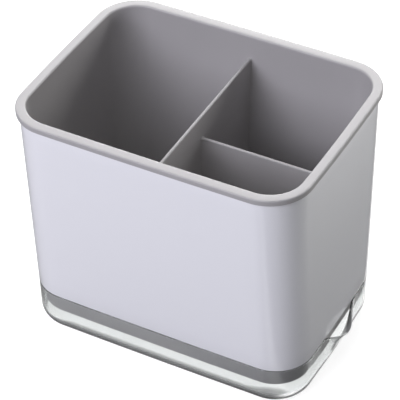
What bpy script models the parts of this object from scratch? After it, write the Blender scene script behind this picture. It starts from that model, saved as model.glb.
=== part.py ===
# Cutlery drainer in metres, +Z up. The origin is the middle of the drip tray's underside, +X points
# to the end with the pouring spout, and the long front side faces -Y.
#
# Three pieces nest: a clear drip tray stands on the worktop, a glossy sleeve stands on the tray's
# edge, and a liner with two dividers hangs in the sleeve by its rim and dips into the tray.

import math

import bmesh
import bpy

# Heights of the stack
TRAY_HEIGHT = 0.0279
SLEEVE_HEIGHT = 0.1297
SEAT_GAP = 0.0003
SUMP_DEPTH = 0.0122

# Plan of the sleeve's outer face at its top edge. Each taper is what a half-size loses on the way
# down, so the long sides lean in and the ends stand almost upright.
SLEEVE_LENGTH = 0.1740
SLEEVE_WIDTH = 0.1311
SLEEVE_CORNER = 0.0224
LEAST_CORNER = 0.0010
SLEEVE_WALL = 0.0015
SLEEVE_EDGE_ROUND = 0.0003
END_TAPER = -0.0012
SIDE_TAPER = 0.0077
SIDE_CROWN = 0.0006
END_CROWN = 0.0012

# Rim of the liner, which hooks over the sleeve's top edge
RIM_OVERHANG = 0.0020
RIM_THICKNESS = 0.0022
RIM_LIP_DEPTH = 0.0032
RIM_LIP_CLEARANCE = 0.0004
RIM_OUTER_ROUND = 0.0010
RIM_INNER_ROUND = 0.0008
RIM_LIP_ROUND = 0.0003

# Walls, floor and dividers of the liner
LINER_SLEEVE_CLEARANCE = 0.0004
LINER_TRAY_CLEARANCE = 0.0022
LINER_CORNER_GAIN = 0.0040
LINER_WALL = 0.0016
LINER_FLOOR = 0.0020
LINER_FOOT_ROUND = 0.0022
LINER_FLOOR_ROUND = 0.0040
DIVIDER_TOP_THICKNESS = 0.0020
DIVIDER_FOOT_THICKNESS = 0.0026
MAIN_DIVIDER_DROP = 0.0153
CROSS_DIVIDER_DROP = 0.0297

# Drain slots through the liner's floor
SLOT_WIDTH = 0.0030
SLOT_LENGTH = 0.0280
SLOT_ROW_PITCH = 0.0110
SLOT_COLUMN_GAP = 0.0070
SLOT_MARGIN = 0.0060

# Drip tray and its pouring spout
TRAY_WALL = 0.0016
TRAY_FLOOR = 0.0022
TRAY_DRAFT = 0.0005
TRAY_FOOT_ROUND = 0.0090
TRAY_EDGE_ROUND = 0.0004
SPOUT_WIDTH = 0.0470
SPOUT_REACH = 0.0068
SPOUT_START_HEIGHT = 0.0030
SPOUT_DIP = 0.0070
SPOUT_FLARE_POWER = 1.7

# How finely curves are divided
CORNER_STEPS = 8
SIDE_STEPS = 8
SPOUT_END_STEPS = 36
TRAY_WALL_STEPS = 7
ROUND_STEPS = 4
SMALL_ROUND_STEPS = 3
SLOT_END_STEPS = 4
SMOOTH_ANGLE = math.radians(35)

# Levels that follow from the stack
SLEEVE_FOOT_Z = TRAY_HEIGHT + SEAT_GAP
SLEEVE_TOP_Z = SLEEVE_FOOT_Z + SLEEVE_HEIGHT
RIM_UNDER_Z = SLEEVE_TOP_Z + SEAT_GAP
RIM_TOP_Z = RIM_UNDER_Z + RIM_THICKNESS
LINER_FOOT_Z = TRAY_FLOOR + SUMP_DEPTH
LINER_FLOOR_Z = LINER_FOOT_Z + LINER_FLOOR

# Insets of the liner's outer wall from the sleeve's outer face. The liner itself never widens
# downwards, so it can be lifted out.
LINER_TOP_INSET = SLEEVE_WALL + LINER_SLEEVE_CLEARANCE
LINER_FOOT_INSET = max(LINER_TOP_INSET - min(END_TAPER, 0.0), TRAY_WALL + LINER_TRAY_CLEARANCE)


def clear_scene():
    """Removes whatever objects the file opened with."""
    for leftover in list(bpy.data.objects):
        bpy.data.objects.remove(leftover, do_unlink=True)


def between(first, last, share):
    """Straight-line mix: share 0 gives the first value and share 1 the last."""
    return first + (last - first) * share


def crowned_outline(half_length, half_width, radius, side_crown, end_crown, spout_end_steps=SIDE_STEPS):
    """Points, anticlockwise, of a round-cornered rectangle whose sides and ends bow out a little."""
    corners = [
        (half_length - radius, half_width - radius, 0.0),
        (radius - half_length, half_width - radius, 0.5 * math.pi),
        (radius - half_length, radius - half_width, math.pi),
        (half_length - radius, radius - half_width, 1.5 * math.pi),
    ]
    steps_after_corner = [SIDE_STEPS, SIDE_STEPS, SIDE_STEPS, spout_end_steps]
    flat = []
    for index, (x, y, start) in enumerate(corners):
        arc = []
        for step in range(CORNER_STEPS + 1):
            angle = start + 0.5 * math.pi * step / CORNER_STEPS
            arc.append((x + radius * math.cos(angle), y + radius * math.sin(angle)))
        flat.extend(arc)
        next_x, next_y, next_start = corners[(index + 1) % 4]
        end_x = next_x + radius * math.cos(next_start)
        end_y = next_y + radius * math.sin(next_start)
        count = steps_after_corner[index]
        for step in range(1, count):
            share = step / count
            flat.append((between(arc[-1][0], end_x, share), between(arc[-1][1], end_y, share)))
    bowed = []
    for x, y in flat:
        across = 1.0 - (x / half_length) ** 2
        along = 1.0 - (y / half_width) ** 2
        longer = 1.0 + end_crown / half_length * along
        wider = 1.0 + side_crown / half_width * across
        bowed.append((x * longer, y * wider))
    return bowed


def sleeve_share(z):
    """How far down the sleeve a height lies: 0 at its top edge, 1 at its bottom edge, more below."""
    return (SLEEVE_TOP_Z - z) / SLEEVE_HEIGHT


def body_outline(z, inset, spout_end_steps=SIDE_STEPS, corner_gain=0.0):
    """The sleeve's outer outline at height z, moved inwards by inset; corner_gain rounds its corners."""
    share = sleeve_share(z)
    return crowned_outline(
        0.5 * SLEEVE_LENGTH - END_TAPER * share - inset,
        0.5 * SLEEVE_WIDTH - SIDE_TAPER * share - inset,
        max(SLEEVE_CORNER - inset, LEAST_CORNER) + corner_gain,
        SIDE_CROWN,
        END_CROWN,
        spout_end_steps,
    )


def loop_at(z, inset):
    """One level loop of body_outline as 3-D points."""
    return [(x, y, z) for x, y in body_outline(z, inset)]


def lofted_object(name, loops, closed_ring=False):
    """Skins a row of loops into one closed mesh: capped at both ends, or joined end to end."""
    mesh_builder = bmesh.new()
    rows = [[mesh_builder.verts.new(point) for point in loop] for loop in loops]
    count = len(rows[0])
    pairs = list(zip(rows, rows[1:]))
    if closed_ring:
        pairs.append((rows[-1], rows[0]))
    for lower, upper in pairs:
        for index in range(count):
            after = (index + 1) % count
            mesh_builder.faces.new((lower[index], lower[after], upper[after], upper[index]))
    if not closed_ring:
        mesh_builder.faces.new(list(reversed(rows[0])))
        mesh_builder.faces.new(rows[-1])
    bmesh.ops.recalc_face_normals(mesh_builder, faces=mesh_builder.faces)
    return finished_object(name, mesh_builder)


def finished_object(name, mesh_builder):
    """Turns a bmesh into a linked, smoothly shaded object."""
    mesh = bpy.data.meshes.new(name)
    mesh_builder.to_mesh(mesh)
    mesh_builder.free()
    made = bpy.data.objects.new(name, mesh)
    bpy.context.scene.collection.objects.link(made)
    mesh.shade_smooth()
    mesh.set_sharp_from_angle(angle=SMOOTH_ANGLE)
    return made


def quarter_round(radius, steps):
    """Pairs (run, rise) along a quarter circle, from (0, 0) to (radius, radius), rising first."""
    pairs = []
    for step in range(steps + 1):
        angle = 0.5 * math.pi * step / steps
        pairs.append((radius * (1.0 - math.cos(angle)), radius * math.sin(angle)))
    return pairs


def principled(name, colour, roughness, metallic=0.0, transmission=0.0):
    """A Principled material from a few values."""
    material = bpy.data.materials.new(name)
    material.use_nodes = True
    shader = material.node_tree.nodes["Principled BSDF"]
    shader.inputs["Base Color"].default_value = (*colour, 1.0)
    shader.inputs["Roughness"].default_value = roughness
    shader.inputs["Metallic"].default_value = metallic
    shader.inputs["Transmission Weight"].default_value = transmission
    material.diffuse_color = (*colour, 1.0)
    return material


def white_gloss():
    """Glossy cool white of the sleeve."""
    return principled("white_gloss", (0.72, 0.73, 0.78), 0.12)


def grey_satin():
    """Satin warm grey of the liner."""
    return principled("grey_satin", (0.36, 0.35, 0.36), 0.42)


def clear_plastic():
    """Clear moulded plastic of the drip tray."""
    return principled("clear_plastic", (0.90, 0.93, 0.92), 0.04, transmission=1.0)


def make_sleeve():
    """Open tube with crowned, slightly tapering walls and softly rounded edges."""
    edge = quarter_round(SLEEVE_EDGE_ROUND, SMALL_ROUND_STEPS)
    loops = []
    for run, rise in reversed(edge):
        loops.append(loop_at(SLEEVE_FOOT_Z + SLEEVE_EDGE_ROUND - rise, run))
    for run, rise in edge:
        loops.append(loop_at(SLEEVE_TOP_Z - SLEEVE_EDGE_ROUND + rise, run))
    loops.append(loop_at(SLEEVE_TOP_Z, SLEEVE_WALL))
    loops.append(loop_at(SLEEVE_FOOT_Z, SLEEVE_WALL))
    sleeve = lofted_object("sleeve", loops, closed_ring=True)
    sleeve.data.materials.append(white_gloss())
    return sleeve


def liner_outer_inset(z):
    """How far the liner's outer wall lies inside the sleeve's outer face, down into the tray."""
    return between(LINER_TOP_INSET, LINER_FOOT_INSET, sleeve_share(z))


def liner_inner_inset(z):
    """The same for the liner's inner wall."""
    return liner_outer_inset(z) + LINER_WALL


def liner_loop(z, inset):
    """One level loop of the liner, whose corners get rounder on the way down, clear of the tray's."""
    corner_gain = LINER_CORNER_GAIN * max(sleeve_share(z), 0.0)
    return [(x, y, z) for x, y in body_outline(z, inset, corner_gain=corner_gain)]


def make_liner_shell():
    """The liner's one-piece shell: drafted bucket, rounded floor edge and a rim with a hooked lip."""
    loops = []
    for run, rise in reversed(quarter_round(LINER_FOOT_ROUND, ROUND_STEPS)):
        z = LINER_FOOT_Z + LINER_FOOT_ROUND - rise
        loops.append(liner_loop(z, liner_outer_inset(z) + run))
    loops.append(liner_loop(RIM_UNDER_Z, liner_outer_inset(RIM_UNDER_Z)))
    loops.append(liner_loop(RIM_UNDER_Z, -RIM_LIP_CLEARANCE))
    lip_foot_z = RIM_TOP_Z - RIM_LIP_DEPTH
    loops.append(liner_loop(lip_foot_z, -RIM_LIP_CLEARANCE))
    for run, rise in reversed(quarter_round(RIM_LIP_ROUND, SMALL_ROUND_STEPS)):
        loops.append(liner_loop(lip_foot_z + RIM_LIP_ROUND - rise, run - RIM_OVERHANG))
    for run, rise in quarter_round(RIM_OUTER_ROUND, ROUND_STEPS):
        loops.append(liner_loop(RIM_TOP_Z - RIM_OUTER_ROUND + rise, run - RIM_OVERHANG))
    for run, rise in reversed(quarter_round(RIM_INNER_ROUND, SMALL_ROUND_STEPS)):
        z = RIM_TOP_Z - RIM_INNER_ROUND + rise
        loops.append(liner_loop(z, liner_inner_inset(z) - run))
    for run, rise in quarter_round(LINER_FLOOR_ROUND, ROUND_STEPS):
        z = LINER_FLOOR_Z + LINER_FLOOR_ROUND - rise
        loops.append(liner_loop(z, liner_inner_inset(z) + run))
    return lofted_object("liner", loops)


def divider_profile(top_z):
    """Pairs (offset from the divider's middle, height) round a tapered wall with a rounded top."""
    foot_z = LINER_FOOT_Z + 0.5 * LINER_FLOOR
    half_top = 0.5 * DIVIDER_TOP_THICKNESS
    half_foot = 0.5 * DIVIDER_FOOT_THICKNESS
    profile = [(half_foot, foot_z)]
    for step in range(2 * ROUND_STEPS + 1):
        angle = math.pi * step / (2 * ROUND_STEPS)
        profile.append((half_top * math.cos(angle), top_z - half_top + half_top * math.sin(angle)))
    profile.append((-half_foot, foot_z))
    return profile


def liner_reach(z, half_size, taper, crown):
    """Distance from the middle plane to halfway into the liner's wall, on a side's or end's centre."""
    return half_size - taper * sleeve_share(z) - liner_outer_inset(z) - 0.5 * LINER_WALL + crown


def side_reach(z):
    """liner_reach for the long sides."""
    return liner_reach(z, 0.5 * SLEEVE_WIDTH, SIDE_TAPER, SIDE_CROWN)


def end_reach(z):
    """liner_reach for the short ends."""
    return liner_reach(z, 0.5 * SLEEVE_LENGTH, END_TAPER, END_CROWN)


def make_main_divider():
    """Full-width divider on the middle plane, running front to back."""
    profile = divider_profile(RIM_TOP_Z - MAIN_DIVIDER_DROP)
    front = [(offset, -side_reach(z), z) for offset, z in profile]
    back = [(offset, side_reach(z), z) for offset, z in profile]
    return lofted_object("main_divider_blank", [front, back])


def make_cross_divider():
    """Lower divider from the main divider to the spout end."""
    profile = divider_profile(RIM_TOP_Z - CROSS_DIVIDER_DROP)
    inner = [(0.0, offset, z) for offset, z in profile]
    outer = [(end_reach(z), offset, z) for offset, z in profile]
    return lofted_object("cross_divider_blank", [inner, outer])


def slot_prism(mesh_builder, x, y, low_z, high_z):
    """Adds one round-ended upright prism to a bmesh."""
    half_straight = 0.5 * (SLOT_LENGTH - SLOT_WIDTH)
    radius = 0.5 * SLOT_WIDTH
    outline = []
    for side, start in ((1.0, -0.5 * math.pi), (-1.0, 0.5 * math.pi)):
        for step in range(SLOT_END_STEPS + 1):
            angle = start + math.pi * step / SLOT_END_STEPS
            point_x = x + side * half_straight + radius * math.cos(angle)
            outline.append((point_x, y + radius * math.sin(angle)))
    lower = [mesh_builder.verts.new((px, py, low_z)) for px, py in outline]
    upper = [mesh_builder.verts.new((px, py, high_z)) for px, py in outline]
    mesh_builder.faces.new(list(reversed(lower)))
    mesh_builder.faces.new(upper)
    for index in range(len(outline)):
        after = (index + 1) % len(outline)
        mesh_builder.faces.new((lower[index], lower[after], upper[after], upper[index]))


def slot_centres():
    """Places of the drain slots: rows and columns spaced out from the dividers towards the walls."""
    floor_half_length = end_reach(LINER_FLOOR_Z) - 0.5 * LINER_WALL - LINER_FLOOR_ROUND
    floor_half_width = side_reach(LINER_FLOOR_Z) - 0.5 * LINER_WALL - LINER_FLOOR_ROUND
    column_pitch = SLOT_LENGTH + SLOT_COLUMN_GAP
    first_x = 0.5 * DIVIDER_FOOT_THICKNESS + SLOT_MARGIN + 0.5 * SLOT_LENGTH
    columns = []
    while first_x + len(columns) * column_pitch + 0.5 * SLOT_LENGTH < floor_half_length:
        columns.append(first_x + len(columns) * column_pitch)
    first_y = 0.5 * DIVIDER_FOOT_THICKNESS + SLOT_MARGIN
    rows = []
    while first_y + len(rows) * SLOT_ROW_PITCH + 0.5 * SLOT_WIDTH < floor_half_width - SLOT_MARGIN:
        rows.append(first_y + len(rows) * SLOT_ROW_PITCH)
    return [(sx * x, sy * y) for x in columns for y in rows for sx in (-1, 1) for sy in (-1, 1)]


def make_slot_cutter():
    """All the drain slots as one hidden cutter that passes through the liner's floor."""
    mesh_builder = bmesh.new()
    for x, y in slot_centres():
        slot_prism(mesh_builder, x, y, LINER_FOOT_Z - LINER_FLOOR, LINER_FLOOR_Z + LINER_FLOOR)
    return finished_object("slot_cutter", mesh_builder)


def hide_tool(tool):
    """Marks an object as a construction aid."""
    tool.hide_render = True
    tool.display_type = "WIRE"


def add_boolean(target, tool, operation):
    """Joins or cuts target with a hidden tool object."""
    hide_tool(tool)
    modifier = target.modifiers.new(f"{operation.lower()}_{tool.name}", "BOOLEAN")
    modifier.operation = operation
    modifier.object = tool
    modifier.solver = "EXACT"


def make_liner():
    """The liner: shell and both dividers in one moulding, with drain slots in its floor."""
    liner = make_liner_shell()
    add_boolean(liner, make_main_divider(), "UNION")
    add_boolean(liner, make_cross_divider(), "UNION")
    add_boolean(liner, make_slot_cutter(), "DIFFERENCE")
    liner.data.materials.append(grey_satin())
    return liner


def spout_swell(y):
    """Share of the spout's reach at a distance y from its middle: rounded tip, S-shaped flanks."""
    distance = min(abs(y) / (0.5 * SPOUT_WIDTH), 1.0)
    return 0.5 * (1.0 + math.cos(math.pi * distance))


def spout_flare(z):
    """Share of the spout's reach at height z, growing towards the tray's edge."""
    climb = (z - SPOUT_START_HEIGHT) / (TRAY_HEIGHT - SPOUT_START_HEIGHT)
    return min(max(climb, 0.0), 1.0) ** SPOUT_FLARE_POWER


def moved_inwards(outline, distance):
    """Offsets a closed outline along its own normals, so that a wall keeps its thickness round a bend."""
    moved = []
    count = len(outline)
    for index, (x, y) in enumerate(outline):
        before = outline[index - 1]
        after = outline[(index + 1) % count]
        run_x = after[0] - before[0]
        run_y = after[1] - before[1]
        length = math.hypot(run_x, run_y)
        moved.append((x - distance * run_y / length, y + distance * run_x / length))
    return moved


def tray_loop(z, inset, wall_depth=0.0):
    """A tray loop at height z: inset shrinks its plain outline, wall_depth goes in along the spout."""
    draft = TRAY_DRAFT * (TRAY_HEIGHT - z) / TRAY_HEIGHT
    plain = body_outline(SLEEVE_FOOT_Z, inset + draft, SPOUT_END_STEPS)
    flare = spout_flare(z)
    swollen = []
    for x, y in plain:
        reach = SPOUT_REACH * spout_swell(y) * flare if x > 0.0 else 0.0
        swollen.append((x + reach, y))
    settled = []
    for (x, y), (_, plain_y) in zip(moved_inwards(swollen, wall_depth), swollen):
        dip = SPOUT_DIP * spout_swell(plain_y) * flare if x > 0.0 else 0.0
        settled.append((x, y, z - dip))
    return settled


def make_drip_tray():
    """Shallow clear tray: broad rounded foot, thin walls and a pouring spout drawn out of one end."""
    inner_round = TRAY_FOOT_ROUND - TRAY_WALL
    wall_foot_z = TRAY_FOOT_ROUND
    edge_z = TRAY_HEIGHT - TRAY_EDGE_ROUND
    loops = []
    for run, rise in reversed(quarter_round(TRAY_FOOT_ROUND, ROUND_STEPS + SMALL_ROUND_STEPS)):
        loops.append(tray_loop(TRAY_FOOT_ROUND - rise, run))
    for step in range(1, TRAY_WALL_STEPS):
        loops.append(tray_loop(wall_foot_z + (edge_z - wall_foot_z) * step / TRAY_WALL_STEPS, 0.0))
    edge = quarter_round(TRAY_EDGE_ROUND, SMALL_ROUND_STEPS)
    for run, rise in edge:
        loops.append(tray_loop(edge_z + rise, 0.0, run))
    for run, rise in reversed(edge):
        loops.append(tray_loop(edge_z + rise, 0.0, TRAY_WALL - run))
    inner_foot_z = TRAY_FLOOR + inner_round
    for step in range(1, TRAY_WALL_STEPS):
        loops.append(tray_loop(edge_z + (inner_foot_z - edge_z) * step / TRAY_WALL_STEPS, 0.0, TRAY_WALL))
    for run, rise in quarter_round(inner_round, ROUND_STEPS + SMALL_ROUND_STEPS):
        loops.append(tray_loop(inner_foot_z - rise, run, TRAY_WALL))
    tray = lofted_object("drip_tray", loops)
    tray.data.materials.append(clear_plastic())
    return tray


def build():
    """Models the drainer: each piece stands or hangs on the one before it."""
    clear_scene()
    make_drip_tray()
    make_sleeve()
    make_liner()


build()
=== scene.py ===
import math

import bmesh
import bpy
from mathutils import Matrix, Vector


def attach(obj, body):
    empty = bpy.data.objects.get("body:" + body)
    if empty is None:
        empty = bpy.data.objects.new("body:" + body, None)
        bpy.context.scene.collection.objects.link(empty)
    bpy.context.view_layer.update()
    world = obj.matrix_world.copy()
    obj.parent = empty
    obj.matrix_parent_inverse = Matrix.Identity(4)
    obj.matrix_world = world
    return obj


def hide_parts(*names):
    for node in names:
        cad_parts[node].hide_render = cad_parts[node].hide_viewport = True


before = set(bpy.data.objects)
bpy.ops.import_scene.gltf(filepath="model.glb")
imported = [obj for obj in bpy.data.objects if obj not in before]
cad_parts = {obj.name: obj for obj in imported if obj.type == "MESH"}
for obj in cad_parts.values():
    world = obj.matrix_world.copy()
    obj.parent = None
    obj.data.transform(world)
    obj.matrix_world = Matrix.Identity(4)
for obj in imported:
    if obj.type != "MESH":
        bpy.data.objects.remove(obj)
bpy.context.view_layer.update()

# Sizes in metres. Most are the CAD's. The rim's lip, rounds and bead, the liner's foot, the dividers'
# fillets, the slots' flares, the sleeve's inner chamfer and the spout's thinning are the scene's own.
TRAY_HEIGHT = 0.0279
SLEEVE_HEIGHT = 0.1297
SEAT_GAP = 0.0003
SUMP_DEPTH = 0.0122
SLEEVE_LENGTH = 0.1740
SLEEVE_WIDTH = 0.1311
SLEEVE_CORNER = 0.0224
SLEEVE_WALL = 0.0015
SLEEVE_EDGE_ROUND = 0.0003
SLEEVE_INNER_CHAMFER = 0.0002
LEAST_CORNER = 0.001
END_TAPER = -0.0012
SIDE_TAPER = 0.0077
SIDE_CROWN = 0.0006
END_CROWN = 0.0012
RIM_OVERHANG = 0.00198
RIM_THICKNESS = 0.0022
RIM_LIP_DEPTH = 0.0035
RIM_LIP_CLEARANCE = 0.0004
RIM_OUTER_ROUND = 0.0008
RIM_INNER_ROUND = 0.0011
RIM_BEAD = 0.0009
RIM_BEAD_DEPTH = 0.020
RIM_BEAD_END_SHARE = 0.4
RIM_BEAD_CORNER_SHARE = 0.7
RIM_LIP_ROUND = 0.0003
LINER_SLEEVE_CLEARANCE = 0.0004
LINER_FOOT_SIDE_INSET = 0.0022
LINER_FOOT_END_INSET = 0.0031
LINER_WALL = 0.0016
LINER_FLOOR = 0.0020
LINER_FOOT_ROUND = 0.0022
LINER_FLOOR_ROUND = 0.0040
DIVIDER_TOP_THICKNESS = 0.0020
DIVIDER_FOOT_THICKNESS = 0.0026
MAIN_DIVIDER_DROP = 0.0153
CROSS_DIVIDER_DROP = 0.0297
DIVIDER_FILLET = 0.0014
DIVIDER_FOOT_FILLET = 0.0025
DIVIDER_LEAST_HALF = 0.00002
DIVIDER_WALL_SHARE = 0.45
SLOT_WIDTH = 0.0030
SLOT_LENGTH = 0.0280
SLOT_ROW_PITCH = 0.0110
SLOT_COLUMN_GAP = 0.0070
SLOT_MARGIN = 0.0060
SLOT_FOOT_FLARE = 0.0004
SLOT_TOP_FLARE = 0.0005
SLOT_OVERRUN = 0.002
TRAY_WALL = 0.0016
TRAY_FLOOR = 0.0022
TRAY_DRAFT = 0.0005
TRAY_FOOT_ROUND = 0.0090
TRAY_EDGE_ROUND = 0.0004
SPOUT_WIDTH = 0.0470
SPOUT_REACH = 0.00673
SPOUT_START_HEIGHT = 0.0030
SPOUT_DIP = 0.0070
SPOUT_FLARE_POWER = 1.7
SPOUT_THINNING = 0.65

SLEEVE_FOOT_Z = TRAY_HEIGHT + SEAT_GAP
SLEEVE_TOP_Z = SLEEVE_FOOT_Z + SLEEVE_HEIGHT
RIM_UNDER_Z = SLEEVE_TOP_Z + SEAT_GAP
RIM_TOP_Z = RIM_UNDER_Z + RIM_THICKNESS
LINER_FOOT_Z = TRAY_FLOOR + SUMP_DEPTH
LINER_FLOOR_Z = LINER_FOOT_Z + LINER_FLOOR
LINER_TOP_INSET = SLEEVE_WALL + LINER_SLEEVE_CLEARANCE

CORNER_STEPS = 20
SIDE_STEPS = 20
SPOUT_END_STEPS = 96
SLEEVE_LEVELS = 12
LINER_LEVELS = 10
TRAY_LEVELS = 16
DIVIDER_LEVELS = 8
DIVIDER_TOP_STEPS = 8
FILLET_STEPS = 6
SLOT_END_STEPS = 8
SMOOTH_ANGLE = 40.0
LINER_SMOOTH_ANGLE = 32.0
TRAY_SMOOTH_ANGLE = 50.0


# Outlines and lofts that the pieces share.
def between(first, last, share):
    return first + (last - first) * share


def crowned_outline(half_length, half_width, radius, spout_end_steps=SIDE_STEPS):
    corners = [
        (half_length - radius, half_width - radius, 0.0),
        (radius - half_length, half_width - radius, 0.5 * math.pi),
        (radius - half_length, radius - half_width, math.pi),
        (half_length - radius, radius - half_width, 1.5 * math.pi),
    ]
    steps = [SIDE_STEPS, SIDE_STEPS, SIDE_STEPS, spout_end_steps]
    flat = []
    for index, (x, y, start) in enumerate(corners):
        for step in range(CORNER_STEPS + 1):
            angle = start + 0.5 * math.pi * step / CORNER_STEPS
            flat.append((x + radius * math.cos(angle), y + radius * math.sin(angle)))
        last = flat[-1]
        next_x, next_y, next_start = corners[(index + 1) % 4]
        end = (next_x + radius * math.cos(next_start), next_y + radius * math.sin(next_start))
        for step in range(1, steps[index]):
            share = step / steps[index]
            flat.append((between(last[0], end[0], share), between(last[1], end[1], share)))
    bowed = []
    for x, y in flat:
        longer = 1.0 + END_CROWN / half_length * (1.0 - (y / half_width) ** 2)
        wider = 1.0 + SIDE_CROWN / half_width * (1.0 - (x / half_length) ** 2)
        bowed.append((x * longer, y * wider))
    return bowed


def sleeve_share(z):
    return (SLEEVE_TOP_Z - z) / SLEEVE_HEIGHT


def body_outline(z, inset, spout_end_steps=SIDE_STEPS):
    share = sleeve_share(z)
    return crowned_outline(
        0.5 * SLEEVE_LENGTH - END_TAPER * share - inset,
        0.5 * SLEEVE_WIDTH - SIDE_TAPER * share - inset,
        max(SLEEVE_CORNER - inset, LEAST_CORNER),
        spout_end_steps,
    )


def loop_at(z, inset):
    return [(x, y, z) for x, y in body_outline(z, inset)]


def quarter_round(radius, steps):
    pairs = []
    for step in range(steps + 1):
        angle = 0.5 * math.pi * step / steps
        pairs.append((radius * (1.0 - math.cos(angle)), radius * math.sin(angle)))
    return pairs


def bridged(builder, rows, closed_ring=False):
    """Faces between neighbouring rows, and over both ends unless the rows close in a ring."""
    count = len(rows[0])
    pairs = list(zip(rows, rows[1:]))
    if closed_ring:
        pairs.append((rows[-1], rows[0]))
    for lower, upper in pairs:
        for index in range(count):
            after = (index + 1) % count
            builder.faces.new((lower[index], lower[after], upper[after], upper[index]))
    if not closed_ring:
        builder.faces.new(list(reversed(rows[0])))
        builder.faces.new(rows[-1])


def lofted_mesh(name, loops, closed_ring=False, smooth_angle=SMOOTH_ANGLE):
    builder = bmesh.new()
    bridged(builder, [[builder.verts.new(point) for point in loop] for loop in loops], closed_ring)
    bmesh.ops.recalc_face_normals(builder, faces=builder.faces)
    return object_from(name, builder, smooth_angle)


def object_from(name, builder, smooth_angle=SMOOTH_ANGLE):
    mesh = bpy.data.meshes.new(name)
    builder.to_mesh(mesh)
    builder.free()
    made = bpy.data.objects.new(name, mesh)
    bpy.context.scene.collection.objects.link(made)
    mesh.shade_smooth()
    mesh.set_sharp_from_angle(angle=math.radians(smooth_angle))
    return made


# The sleeve.
def make_sleeve():
    edge = quarter_round(SLEEVE_EDGE_ROUND, 4)
    loops = []
    for run, rise in reversed(edge):
        loops.append(loop_at(SLEEVE_FOOT_Z + SLEEVE_EDGE_ROUND - rise, run))
    low = SLEEVE_FOOT_Z + SLEEVE_EDGE_ROUND
    high = SLEEVE_TOP_Z - SLEEVE_EDGE_ROUND
    for step in range(1, SLEEVE_LEVELS):
        loops.append(loop_at(between(low, high, step / SLEEVE_LEVELS), 0.0))
    for run, rise in edge:
        loops.append(loop_at(high + rise, run))
    loops.append(loop_at(SLEEVE_TOP_Z, SLEEVE_WALL - SLEEVE_INNER_CHAMFER))
    loops.append(loop_at(SLEEVE_TOP_Z - SLEEVE_INNER_CHAMFER, SLEEVE_WALL))
    loops.append(loop_at(SLEEVE_FOOT_Z + SLEEVE_INNER_CHAMFER, SLEEVE_WALL))
    loops.append(loop_at(SLEEVE_FOOT_Z, SLEEVE_WALL - SLEEVE_INNER_CHAMFER))
    return lofted_mesh("sleeve_shell", loops, closed_ring=True)


# The liner.
def liner_insets(z):
    """How far the liner's outer wall lies inside the sleeve's outer face, at the ends and the sides."""
    share = sleeve_share(z)
    at_end = between(LINER_TOP_INSET, LINER_FOOT_END_INSET, share)
    at_side = between(LINER_TOP_INSET, LINER_FOOT_SIDE_INSET, share)
    return at_end, at_side


def rim_bead(z):
    """How much thicker the wall is towards the rim."""
    return RIM_BEAD * max(0.0, 1.0 - (RIM_TOP_Z - z) / RIM_BEAD_DEPTH)


def liner_loop(z, inwards, thicker=0.0):
    """One level loop of the liner: its outer wall moved inwards."""
    share = sleeve_share(z)
    at_end, at_side = liner_insets(z)
    corner = SLEEVE_CORNER - 0.5 * (at_end + at_side) - inwards - RIM_BEAD_CORNER_SHARE * thicker
    outline = crowned_outline(
        0.5 * SLEEVE_LENGTH - END_TAPER * share - at_end - inwards - RIM_BEAD_END_SHARE * thicker,
        0.5 * SLEEVE_WIDTH - SIDE_TAPER * share - at_side - inwards - thicker,
        max(corner, LEAST_CORNER),
    )
    return [(x, y, z) for x, y in outline]


def make_liner_shell():
    loops = []
    for run, rise in reversed(quarter_round(LINER_FOOT_ROUND, 6)):
        loops.append(liner_loop(LINER_FOOT_Z + LINER_FOOT_ROUND - rise, run))
    loops.append(liner_loop(RIM_UNDER_Z, 0.0))
    loops.append(loop_at(RIM_UNDER_Z, -RIM_LIP_CLEARANCE))
    lip_foot_z = RIM_TOP_Z - RIM_LIP_DEPTH
    loops.append(loop_at(lip_foot_z, -RIM_LIP_CLEARANCE))
    for run, rise in reversed(quarter_round(RIM_LIP_ROUND, 4)):
        loops.append(loop_at(lip_foot_z + RIM_LIP_ROUND - rise, run - RIM_OVERHANG))
    for run, rise in quarter_round(RIM_OUTER_ROUND, 8):
        loops.append(loop_at(RIM_TOP_Z - RIM_OUTER_ROUND + rise, run - RIM_OVERHANG))
    for run, rise in reversed(quarter_round(RIM_INNER_ROUND, 8)):
        z = RIM_TOP_Z - RIM_INNER_ROUND + rise
        loops.append(liner_loop(z, LINER_WALL - run, rim_bead(z)))
    top = RIM_TOP_Z - RIM_INNER_ROUND
    low = LINER_FLOOR_Z + LINER_FLOOR_ROUND
    for depth in (0.002, 0.006, 0.010, 0.014):
        loops.append(liner_loop(top - depth, LINER_WALL, rim_bead(top - depth)))
    for step in range(2, LINER_LEVELS):
        z = between(top, low, step / LINER_LEVELS)
        loops.append(liner_loop(z, LINER_WALL, rim_bead(z)))
    for run, rise in quarter_round(LINER_FLOOR_ROUND, 8):
        loops.append(liner_loop(LINER_FLOOR_Z + LINER_FLOOR_ROUND - rise, LINER_WALL + run))
    return lofted_mesh("liner_shell", loops)


def side_reach(z):
    """Distance from the middle plane to the liner's inner wall at height z, midway along a side."""
    return 0.5 * SLEEVE_WIDTH - SIDE_TAPER * sleeve_share(z) - liner_insets(z)[1] - LINER_WALL + SIDE_CROWN


def end_reach(z):
    """The same, midway along an end."""
    return 0.5 * SLEEVE_LENGTH - END_TAPER * sleeve_share(z) - liner_insets(z)[0] - LINER_WALL + END_CROWN


def concave_fillet(radius):
    """Pairs (run, rise) along a quarter turn, from the full run to the full rise."""
    angles = [0.5 * math.pi * step / FILLET_STEPS for step in range(FILLET_STEPS + 1)]
    return [(radius * (1.0 - math.sin(angle)), radius * (1.0 - math.cos(angle))) for angle in angles]


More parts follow.
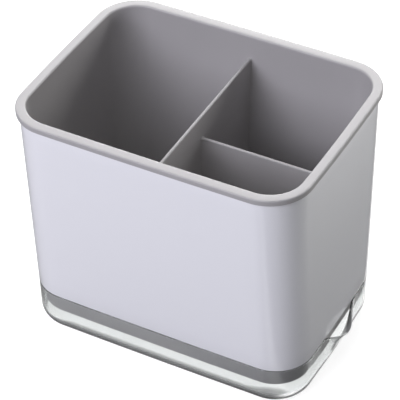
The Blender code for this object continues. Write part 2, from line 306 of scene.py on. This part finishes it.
def divider_levels(top_z):
    """Pairs (height, half thickness), from inside the floor up to the rounded top."""
    foot_z = LINER_FLOOR_Z - 0.5 * LINER_FLOOR
    half_top = 0.5 * DIVIDER_TOP_THICKNESS
    half_foot = 0.5 * DIVIDER_FOOT_THICKNESS
    levels = [(foot_z, half_foot + DIVIDER_FOOT_FILLET)]
    for run, rise in concave_fillet(DIVIDER_FOOT_FILLET):
        levels.append((LINER_FLOOR_Z + rise, half_foot + run))
    straight_low = LINER_FLOOR_Z + DIVIDER_FOOT_FILLET
    straight_high = top_z - half_top
    for step in range(1, DIVIDER_LEVELS):
        share = step / DIVIDER_LEVELS
        levels.append((between(straight_low, straight_high, share), between(half_foot, half_top, share)))
    for step in range(DIVIDER_TOP_STEPS + 1):
        angle = 0.5 * math.pi * step / DIVIDER_TOP_STEPS
        half = max(half_top * math.cos(angle), DIVIDER_LEAST_HALF)
        levels.append((straight_high + half_top * math.sin(angle), half))
    return levels


def flared_end(reach, half):
    """Plan points from the straight flank into the wall, with a concave fillet where they meet."""
    points = [(reach - run, half + rise) for run, rise in concave_fillet(DIVIDER_FILLET)]
    points.append((reach + DIVIDER_WALL_SHARE * LINER_WALL, half + DIVIDER_FILLET))
    return points


def make_divider(top_z, reach_of, one_sided):
    """Loops of a tapered wall that flares into what it meets; one_sided starts at the main divider."""
    loops = []
    for z, half in divider_levels(top_z):
        far = flared_end(reach_of(z), half)
        outline = far + [(along, -across) for along, across in reversed(far)]
        if one_sided:
            start = 0.5 * DIVIDER_TOP_THICKNESS
            near = [(start + run, half + rise) for run, rise in concave_fillet(DIVIDER_FILLET)]
            near.append((0.0, half + DIVIDER_FILLET))
            outline += [(along, -across) for along, across in near]
            outline += list(reversed(near))
        else:
            outline += [(-along, -across) for along, across in far]
            outline += [(-along, across) for along, across in reversed(far)]
        loops.append([(along, across, z) for along, across in outline])
    return loops


def slot_builder():
    """All drain slots as upright prisms with round ends."""
    floor_half_length = end_reach(LINER_FLOOR_Z) - LINER_FLOOR_ROUND
    floor_half_width = side_reach(LINER_FLOOR_Z) - LINER_FLOOR_ROUND
    column_pitch = SLOT_LENGTH + SLOT_COLUMN_GAP
    first_x = 0.5 * DIVIDER_FOOT_THICKNESS + SLOT_MARGIN + 0.5 * SLOT_LENGTH
    columns = []
    while first_x + len(columns) * column_pitch + 0.5 * SLOT_LENGTH < floor_half_length:
        columns.append(first_x + len(columns) * column_pitch)
    first_y = 0.5 * DIVIDER_FOOT_THICKNESS + SLOT_MARGIN
    rows = []
    while first_y + len(rows) * SLOT_ROW_PITCH + 0.5 * SLOT_WIDTH < floor_half_width - SLOT_MARGIN:
        rows.append(first_y + len(rows) * SLOT_ROW_PITCH)
    builder = bmesh.new()
    for x in columns:
        for y in rows:
            for sx in (-1, 1):
                for sy in (-1, 1):
                    slot_prism(builder, sx * x, sy * y)
    return builder


def slot_prism(builder, x, y):
    half = 0.5 * (SLOT_LENGTH - SLOT_WIDTH)
    rows = []
    levels = [
        (LINER_FOOT_Z - SLOT_OVERRUN, 0.5 * SLOT_WIDTH + SLOT_FOOT_FLARE),
        (LINER_FOOT_Z, 0.5 * SLOT_WIDTH + SLOT_FOOT_FLARE),
        (LINER_FOOT_Z + SLOT_FOOT_FLARE, 0.5 * SLOT_WIDTH),
        (LINER_FLOOR_Z - SLOT_TOP_FLARE, 0.5 * SLOT_WIDTH),
        (LINER_FLOOR_Z, 0.5 * SLOT_WIDTH + SLOT_TOP_FLARE),
        (LINER_FLOOR_Z + SLOT_OVERRUN, 0.5 * SLOT_WIDTH + SLOT_TOP_FLARE),
    ]
    for z, radius in levels:
        row = []
        for side, start in ((1.0, -0.5 * math.pi), (-1.0, 0.5 * math.pi)):
            for step in range(SLOT_END_STEPS + 1):
                angle = start + math.pi * step / SLOT_END_STEPS
                px = x + side * half + radius * math.cos(angle)
                row.append(builder.verts.new((px, y + radius * math.sin(angle), z)))
        rows.append(row)
    bridged(builder, rows)


def joined_by_boolean(target, tools):
    for tool, operation in tools:
        modifier = target.modifiers.new(operation.lower(), "BOOLEAN")
        modifier.operation = operation
        modifier.object = tool
        modifier.solver = "EXACT"
    bpy.context.view_layer.update()
    depsgraph = bpy.context.evaluated_depsgraph_get()
    mesh = bpy.data.meshes.new_from_object(target.evaluated_get(depsgraph))
    target.modifiers.clear()
    target.data = mesh
    for tool, _ in tools:
        bpy.data.objects.remove(tool, do_unlink=True)
    mesh.shade_smooth()
    mesh.set_sharp_from_angle(angle=math.radians(LINER_SMOOTH_ANGLE))


def make_liner():
    liner = make_liner_shell()
    main_loops = make_divider(RIM_TOP_Z - MAIN_DIVIDER_DROP, side_reach, False)
    main_loops = [[(-across, along, z) for along, across, z in loop] for loop in main_loops]
    main = lofted_mesh("main_divider_tool", main_loops)
    cross_loops = make_divider(RIM_TOP_Z - CROSS_DIVIDER_DROP, end_reach, True)
    cross = lofted_mesh("cross_divider_tool", cross_loops)
    slots = object_from("slot_tool", slot_builder())
    joined_by_boolean(liner, [(main, "UNION"), (cross, "UNION"), (slots, "DIFFERENCE")])
    return liner


# The drip tray.
def spout_swell(y):
    distance = min(abs(y) / (0.5 * SPOUT_WIDTH), 1.0)
    return 0.5 * (1.0 + math.cos(math.pi * distance))


def spout_flare(z):
    climb = (z - SPOUT_START_HEIGHT) / (TRAY_HEIGHT - SPOUT_START_HEIGHT)
    return min(max(climb, 0.0), 1.0) ** SPOUT_FLARE_POWER


def moved_inwards(outline, distances):
    moved = []
    count = len(outline)
    for index, (x, y) in enumerate(outline):
        before = outline[index - 1]
        after = outline[(index + 1) % count]
        run_x = after[0] - before[0]
        run_y = after[1] - before[1]
        length = math.hypot(run_x, run_y)
        moved.append((x - distances[index] * run_y / length, y + distances[index] * run_x / length))
    return moved


def tray_loop(z, inset, wall_depth=0.0):
    draft = TRAY_DRAFT * (TRAY_HEIGHT - z) / TRAY_HEIGHT
    plain = body_outline(SLEEVE_FOOT_Z, inset + draft, SPOUT_END_STEPS)
    flare = spout_flare(z)
    swollen = []
    depths = []
    for x, y in plain:
        swell = spout_swell(y) * flare if x > 0.0 else 0.0
        swollen.append((x + SPOUT_REACH * swell, y))
        depths.append(wall_depth * (1.0 - SPOUT_THINNING * swell))
    settled = []
    for (x, y), (_, plain_y) in zip(moved_inwards(swollen, depths), swollen):
        dip = SPOUT_DIP * spout_swell(plain_y) * flare if x > 0.0 else 0.0
        settled.append((x, y, z - dip))
    return settled


def make_tray():
    inner_round = TRAY_FOOT_ROUND - TRAY_WALL
    edge_z = TRAY_HEIGHT - TRAY_EDGE_ROUND
    loops = []
    for run, rise in reversed(quarter_round(TRAY_FOOT_ROUND, 16)):
        loops.append(tray_loop(TRAY_FOOT_ROUND - rise, run))
    for step in range(1, TRAY_LEVELS):
        loops.append(tray_loop(between(TRAY_FOOT_ROUND, edge_z, step / TRAY_LEVELS), 0.0))
    edge = quarter_round(TRAY_EDGE_ROUND, 5)
    for run, rise in edge:
        loops.append(tray_loop(edge_z + rise, 0.0, run))
    for run, rise in reversed(edge):
        loops.append(tray_loop(edge_z + rise, 0.0, TRAY_WALL - run))
    inner_foot_z = TRAY_FLOOR + inner_round
    for step in range(1, TRAY_LEVELS):
        loops.append(tray_loop(between(edge_z, inner_foot_z, step / TRAY_LEVELS), 0.0, TRAY_WALL))
    for run, rise in quarter_round(inner_round, 16):
        loops.append(tray_loop(inner_foot_z - rise, run, TRAY_WALL))
    return lofted_mesh("tray_shell", loops, smooth_angle=TRAY_SMOOTH_ANGLE)


# Materials. Over these spans of X and Z, in metres, the clear plastic lets less light through and shows
# whiter: painted light that brightens the spout's lip and the tray's right foot, which otherwise render as
# dark lines.
PAINTED_LIGHT_LIP_X = (0.0895, 0.0925)
PAINTED_LIGHT_FOOT_X = (0.070, 0.085)
PAINTED_LIGHT_FOOT_Z = (0.0030, 0.0010, 0.0, 0.3)


def math_node(tree, operation, first, second=None):
    node = tree.nodes.new("ShaderNodeMath")
    node.operation = operation
    for socket, value in zip(node.inputs, (first, second)):
        if value is None:
            continue
        if isinstance(value, (int, float)):
            socket.default_value = value
        else:
            tree.links.new(value, socket)
    return node.outputs[0]


def eased(tree, value, start, end, low=0.0, high=1.0):
    """A smooth change from low to high while value goes from start to end."""
    node = tree.nodes.new("ShaderNodeMapRange")
    node.interpolation_type = "SMOOTHSTEP"
    for name, number in (("From Min", start), ("From Max", end), ("To Min", low), ("To Max", high)):
        node.inputs[name].default_value = number
    tree.links.new(value, node.inputs["Value"])
    return node.outputs["Result"]


class Nodes:
    """Small helper that adds and links shader nodes."""

    def __init__(self, name):
        self.material = bpy.data.materials.new(name)
        self.material.use_nodes = True
        self.tree = self.material.node_tree
        self.shader = self.tree.nodes["Principled BSDF"]

    def add(self, kind, **values):
        node = self.tree.nodes.new(kind)
        for key, value in values.items():
            setattr(node, key, value)
        return node

    def link(self, out_socket, in_socket):
        self.tree.links.new(out_socket, in_socket)


def place_vector(nodes, scale=(1.0, 1.0, 1.0)):
    where = nodes.add("ShaderNodeTexCoord")
    mapping = nodes.add("ShaderNodeMapping")
    mapping.inputs["Scale"].default_value = scale
    nodes.link(where.outputs["Object"], mapping.inputs["Vector"])
    return mapping.outputs["Vector"]


def noise(nodes, scale, detail, stretch=1.0):
    """Noise over the piece's own coordinates, with the height multiplied by stretch."""
    node = nodes.add("ShaderNodeTexNoise")
    node.inputs["Scale"].default_value = scale
    node.inputs["Detail"].default_value = detail
    nodes.link(place_vector(nodes, (1.0, 1.0, stretch)), node.inputs["Vector"])
    return node.outputs["Fac"]


def ramp_between(nodes, factor, low, high):
    mix = nodes.add("ShaderNodeMix", data_type="RGBA")
    nodes.link(factor, mix.inputs[0])
    mix.inputs[6].default_value = (*low, 1.0)
    mix.inputs[7].default_value = (*high, 1.0)
    return mix.outputs[2]


def mapped(nodes, value, low, high):
    node = nodes.add("ShaderNodeMapRange")
    node.inputs["To Min"].default_value = low
    node.inputs["To Max"].default_value = high
    nodes.link(value, node.inputs["Value"])
    return node.outputs["Result"]


def bumped(nodes, height, strength, distance):
    node = nodes.add("ShaderNodeBump")
    node.inputs["Strength"].default_value = strength
    node.inputs["Distance"].default_value = distance
    nodes.link(height, node.inputs["Height"])
    nodes.link(node.outputs["Normal"], nodes.shader.inputs["Normal"])


def gloss_white():
    nodes = Nodes("gloss_white")
    nodes.shader.inputs["IOR"].default_value = 1.5
    drift = noise(nodes, 14.0, 2.0, 0.5)
    colour = ramp_between(nodes, drift, (0.842, 0.844, 0.866), (0.858, 0.860, 0.880))
    nodes.link(colour, nodes.shader.inputs["Base Color"])
    dulling = noise(nodes, 60.0, 4.0)
    nodes.link(mapped(nodes, dulling, 0.09, 0.15), nodes.shader.inputs["Roughness"])
    bumped(nodes, drift, 0.05, 0.0006)
    return nodes.material


def satin_grey():
    nodes = Nodes("satin_grey")
    nodes.shader.inputs["IOR"].default_value = 1.49
    flow = noise(nodes, 30.0, 5.0, 0.15)
    colour = ramp_between(nodes, flow, (0.388, 0.377, 0.379), (0.412, 0.400, 0.402))
    nodes.link(colour, nodes.shader.inputs["Base Color"])
    nodes.link(mapped(nodes, flow, 0.36, 0.48), nodes.shader.inputs["Roughness"])
    bumped(nodes, noise(nodes, 1800.0, 2.0), 0.12, 0.0002)
    return nodes.material


def clear_plastic():
    nodes = Nodes("clear_plastic")
    nodes.shader.inputs["IOR"].default_value = 1.53
    split = nodes.add("ShaderNodeSeparateXYZ")
    nodes.link(place_vector(nodes), split.inputs["Vector"])
    # Painted light: less clear, whiter plastic at the spout's lip and low on the right foot brightens edges
    # that render dark.
    lip = eased(nodes.tree, split.outputs["X"], *PAINTED_LIGHT_LIP_X)
    foot = math_node(
        nodes.tree,
        "MULTIPLY",
        eased(nodes.tree, split.outputs["X"], *PAINTED_LIGHT_FOOT_X),
        eased(nodes.tree, split.outputs["Z"], *PAINTED_LIGHT_FOOT_Z),
    )
    dulling = math_node(nodes.tree, "MAXIMUM", lip, foot)
    nodes.link(mapped(nodes, dulling, 0.95, 0.55), nodes.shader.inputs["Transmission Weight"])
    flow = noise(nodes, 35.0, 2.0, 0.4)
    colour = ramp_between(nodes, flow, (0.960, 0.978, 0.974), (0.975, 0.988, 0.985))
    nodes.link(colour, nodes.shader.inputs["Base Color"])
    nodes.link(mapped(nodes, flow, 0.015, 0.04), nodes.shader.inputs["Roughness"])
    bumped(nodes, flow, 0.05, 0.0005)
    return nodes.material


# The pieces, with the body each one rides on.
tray = make_tray()
sleeve = make_sleeve()
liner = make_liner()
for piece, node, body, slot, material in (
    (tray, "drip_tray", "tray", "clear_tray", clear_plastic()),
    (sleeve, "sleeve", "sleeve", "white_sleeve", gloss_white()),
    (liner, "liner", "liner", "grey_liner", satin_grey()),
):
    piece.data.materials.clear()
    piece.data.materials.append(material)
    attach(piece, body)
    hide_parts(node)


# The floor under a clear tray gets no lamp light in the renderer, so the floor glows for the rays
# that come through the tray, by where they land. Lengths in metres; a level of 1 is full white.
FLOOR_CAMERA = 0.84
FLOOR_GLOSSY = 0.30
FLOOR_GLOSSY_RIGHT = 1.0
FLOOR_GLOSSY_DARK = 0.08
FLOOR_BASE = 0.36
WORLD_LIGHT = 0.06
GLOW_GAIN = 1.12
GLOW_GAIN_RIGHT = 1.28
RIM_OF_LIGHT = 0.0470
RIM_SHIFT_LEFT = (-0.062, -0.080, 0.0, 0.0065)
RIM_SHIFT_RIGHT = (0.052, 0.074, 0.0, -0.0065)
FRONT_LEVELS = [
    (-0.030, 0.60),
    (-0.012, 0.92),
    (0.000, 1.00),
    (0.0015, 0.60),
    (0.003, 0.38),
    (0.006, 0.32),
    (0.010, 0.16),
    (0.030, 0.10),
]
LEFT_LEVELS = [
    (-0.030, 0.60),
    (-0.008, 0.95),
    (-0.001, 0.90),
    (0.001, 0.20),
    (0.003, 0.30),
    (0.006, 0.50),
    (0.009, 0.12),
    (0.030, 0.10),
]
RIGHT_LEVELS = [
    (-0.030, 0.60),
    (-0.012, 1.00),
    (0.004, 0.97),
    (0.010, 0.95),
    (0.016, 0.15),
    (0.030, 0.05),
]
# Spans of X over which the left and right levels take over, and the light through the tray falls.
LEFT_ZONE = (-0.080, -0.087)
RIGHT_ZONE = (0.074, 0.082)
LIT_THROUGH_ZONE = (0.010, 0.070)
# Spans over which the floor's level in mirrored rays changes: under the tray's right end, beside it
# to the right, towards the back, and where it is darkest.
MIRROR_FROM = (0.070, 0.082)
MIRROR_TO = (0.090, 0.096, 1.0, 0.0)
MIRROR_SIDEWAYS = (0.100, 0.210)
MIRROR_BACKWARDS = (-0.050, 0.250, 0.45, 1.0)
MIRROR_DARKER = (0.084, 0.090)
# The world is brightest through the tray where X times the first plus Y times the second is lowest.
BRIGHT_SIDE = (0.60, 0.80)
BRIGHT_SPAN = (-1.0, -0.7)
LIT_THROUGH_FLOOR = 0.90
LIT_THROUGH_FLOOR_RIGHT = 0.05
LIT_THROUGH_FRONT = 1.45
LIT_THROUGH_SIDE = 0.08


def levels(tree, value, stops):
    """Straight lines between (value, level) stops."""
    ramp = tree.nodes.new("ShaderNodeValToRGB")
    first, last = stops[0][0], stops[-1][0]
    elements = ramp.color_ramp.elements
    elements[0].color = (stops[0][1],) * 3 + (1.0,)
    elements[1].color = (stops[-1][1],) * 3 + (1.0,)
    for place, level in stops[1:-1]:
        stop = elements.new((place - first) / (last - first))
        stop.color = (level, level, level, 1.0)
    along = math_node(tree, "DIVIDE", math_node(tree, "SUBTRACT", value, first), last - first)
    tree.links.new(along, ramp.inputs["Fac"])
    return ramp.outputs["Color"]


def blended(tree, share, first, second):
    """first where share is 0, second where it is 1."""
    kept = math_node(tree, "MULTIPLY", math_node(tree, "SUBTRACT", 1.0, share), first)
    return math_node(tree, "ADD", kept, math_node(tree, "MULTIPLY", share, second))


def floor_place(tree):
    place = tree.nodes.new("ShaderNodeTexCoord")
    split = tree.nodes.new("ShaderNodeSeparateXYZ")
    tree.links.new(place.outputs["Object"], split.inputs["Vector"])
    return split.outputs["X"], split.outputs["Y"]


def distance_from_tray(tree, x, y):
    """Metres from the tray's outline over the floor: negative under the tray, positive around it."""
    corner = SLEEVE_CORNER
    over = []
    for along, half in ((x, 0.5 * SLEEVE_LENGTH - END_TAPER), (y, 0.5 * SLEEVE_WIDTH - SIDE_TAPER)):
        over.append(math_node(tree, "SUBTRACT", math_node(tree, "ABSOLUTE", along), half - corner))
    squares = []
    for value in over:
        outside = math_node(tree, "MAXIMUM", value, 0.0)
        squares.append(math_node(tree, "MULTIPLY", outside, outside))
    reach = math_node(tree, "SQRT", math_node(tree, "ADD", squares[0], squares[1]))
    inside = math_node(tree, "MINIMUM", math_node(tree, "MAXIMUM", over[0], over[1]), 0.0)
    return math_node(tree, "SUBTRACT", math_node(tree, "ADD", reach, inside), corner)


def glow_through_tray(tree, x, y):
    """What the clear tray shows of the floor, by where a ray lands."""
    distance = distance_from_tray(tree, x, y)
    shift = math_node(tree, "ADD", eased(tree, x, *RIM_SHIFT_LEFT), eased(tree, x, *RIM_SHIFT_RIGHT))
    past_rim = math_node(tree, "SUBTRACT", math_node(tree, "ABSOLUTE", y), RIM_OF_LIGHT)
    past = math_node(tree, "SUBTRACT", past_rim, shift)
    front = levels(tree, past, FRONT_LEVELS)
    left = levels(tree, distance, LEFT_LEVELS)
    right = levels(tree, distance, RIGHT_LEVELS)
    with_left = blended(tree, eased(tree, x, *LEFT_ZONE), front, left)
    return blended(tree, eased(tree, x, *RIGHT_ZONE), with_left, right)


def make_floor():
    builder = bmesh.new()
    bmesh.ops.create_grid(builder, x_segments=8, y_segments=8, size=3.0)
    floor = object_from("floor", builder)
    floor.location.z = -0.0002
    material = bpy.data.materials.new("floor_white")
    material.use_nodes = True
    tree = material.node_tree
    shader = tree.nodes["Principled BSDF"]
    shader.inputs["Roughness"].default_value = 0.9
    shader.inputs["Emission Color"].default_value = (1.0, 1.0, 1.0, 1.0)
    path = tree.nodes.new("ShaderNodeLightPath")
    through = path.outputs["Is Transmission Ray"]
    lighting = math_node(tree, "MINIMUM", path.outputs["Diffuse Depth"], 1.0)
    x, y = floor_place(tree)
    light_through = eased(tree, x, *LIT_THROUGH_ZONE, LIT_THROUGH_FLOOR, LIT_THROUGH_FLOOR_RIGHT)
    gain = eased(tree, x, *RIGHT_ZONE, GLOW_GAIN, GLOW_GAIN_RIGHT)
    shown = math_node(tree, "MULTIPLY", glow_through_tray(tree, x, y), gain)
    seen = blended(tree, lighting, shown, light_through)
    under_tray = math_node(tree, "MULTIPLY", eased(tree, x, *MIRROR_FROM), eased(tree, x, *MIRROR_TO))
    sideways = eased(tree, x, *MIRROR_SIDEWAYS)
    backwards = eased(tree, y, *MIRROR_BACKWARDS)
    beside = math_node(tree, "MULTIPLY", sideways, backwards)
    to_right = eased(tree, x, *MIRROR_DARKER, FLOOR_GLOSSY, FLOOR_GLOSSY_DARK)
    mirror_level = blended(tree, math_node(tree, "MAXIMUM", under_tray, beside), to_right, FLOOR_GLOSSY_RIGHT)
    mirrored = math_node(tree, "MULTIPLY", path.outputs["Is Glossy Ray"], mirror_level)
    straight = math_node(tree, "MULTIPLY", path.outputs["Is Camera Ray"], FLOOR_CAMERA)
    glow = math_node(tree, "MAXIMUM", mirrored, straight)
    tree.links.new(blended(tree, through, glow, seen), shader.inputs["Emission Strength"])
    base = tree.nodes.new("ShaderNodeMix")
    base.data_type = "RGBA"
    base.inputs[6].default_value = (FLOOR_BASE, FLOOR_BASE, FLOOR_BASE, 1.0)
    base.inputs[7].default_value = (0.0, 0.0, 0.0, 1.0)
    seen_past = math_node(tree, "MAXIMUM", through, path.outputs["Is Glossy Ray"])
    tree.links.new(seen_past, base.inputs[0])
    tree.links.new(base.outputs[2], shader.inputs["Base Color"])
    floor.data.materials.append(material)


def make_world():
    """White to look at; little light on the object, and more from the front through the tray."""
    world = bpy.data.worlds.new("studio")
    world.use_nodes = True
    bpy.context.scene.world = world
    tree = world.node_tree
    background = tree.nodes["Background"]
    background.inputs["Color"].default_value = (1.0, 1.0, 1.0, 1.0)
    path = tree.nodes.new("ShaderNodeLightPath")
    place = tree.nodes.new("ShaderNodeTexCoord")
    split = tree.nodes.new("ShaderNodeSeparateXYZ")
    tree.links.new(place.outputs["Generated"], split.inputs["Vector"])
    through = path.outputs["Is Transmission Ray"]
    lighting = math_node(tree, "MINIMUM", path.outputs["Diffuse Depth"], 1.0)
    along_x = math_node(tree, "MULTIPLY", split.outputs["X"], BRIGHT_SIDE[0])
    along_y = math_node(tree, "MULTIPLY", split.outputs["Y"], BRIGHT_SIDE[1])
    turned = math_node(tree, "ADD", along_x, along_y)
    by_side = eased(tree, turned, *BRIGHT_SPAN, LIT_THROUGH_FRONT, LIT_THROUGH_SIDE)
    lit = blended(tree, through, WORLD_LIGHT, by_side)
    looked_at = math_node(tree, "MAXIMUM", path.outputs["Is Camera Ray"], path.outputs["Is Glossy Ray"])
    looked_at = math_node(tree, "MAXIMUM", looked_at, through)
    lit_through = math_node(tree, "MULTIPLY", lighting, through)
    direct = math_node(tree, "MULTIPLY", looked_at, math_node(tree, "SUBTRACT", 1.0, lit_through))
    tree.links.new(blended(tree, direct, lit, 1.0), background.inputs["Strength"])


def add_area(name, place, aim, width, height, power, colour=(1.0, 1.0, 1.0)):
    data = bpy.data.lights.new(name, "AREA")
    data.shape = "RECTANGLE"
    data.size = width
    data.size_y = height
    data.energy = power
    data.color = colour
    light = bpy.data.objects.new(name, data)
    bpy.context.scene.collection.objects.link(light)
    light.location = place
    direction = Vector(aim) - Vector(place)
    light.rotation_euler = direction.to_track_quat("-Z", "Y").to_euler()


make_floor()
make_world()
add_area("key", (-0.38, -1.22, 0.86), (0.0, 0.0, 0.10), 0.9, 0.9, 18.9, (0.90, 0.895, 1.0))
add_area("top", (0.0, 0.0, 1.6), (0.0, 0.0, 0.1), 0.9, 0.9, 4.6)
add_area("back", (-0.50, 0.92, 1.02), (0.0, 0.0, 0.16), 0.9, 0.9, 10.4)
add_area("low_back", (-0.42, 1.06, 0.40), (0.0, 0.0, 0.16), 0.5, 0.25, 5.5)
add_area("side", (0.60, 0.70, 0.40), (0.09, 0.04, 0.10), 0.35, 0.35, 3.4)


# The camera, as fitted to the photo.
def make_camera():
    azimuth = math.radians(28.59)
    elevation = math.radians(40.03)
    roll = math.radians(-1.03)
    distance = 1.19013
    focal_pixels = 2062.14
    photo_pixels = 400.0
    sensor_width = 36.0
    target = Vector((0.0, -0.0020, 0.08544))
    back = Vector((
        math.sin(azimuth) * math.cos(elevation),
        -math.cos(azimuth) * math.cos(elevation),
        math.sin(elevation),
    ))
    right = Vector((math.cos(azimuth), math.sin(azimuth), 0.0))
    up = back.cross(right)
    turned_right = math.cos(roll) * right + math.sin(roll) * up
    turned_up = math.cos(roll) * up - math.sin(roll) * right
    data = bpy.data.cameras.new("camera")
    data.sensor_width = sensor_width
    data.lens = focal_pixels / photo_pixels * sensor_width
    data.clip_start = 0.05
    data.clip_end = 20.0
    camera = bpy.data.objects.new("camera", data)
    bpy.context.scene.collection.objects.link(camera)
    eye = target + back * distance
    camera.matrix_world = Matrix((
        (turned_right.x, turned_up.x, back.x, eye.x),
        (turned_right.y, turned_up.y, back.y, eye.y),
        (turned_right.z, turned_up.z, back.z, eye.z),
        (0.0, 0.0, 0.0, 1.0),
    ))
    bpy.context.scene.camera = camera


make_camera()
bpy.context.scene.view_settings.view_transform = "Standard"

bpy.context.view_layer.update()
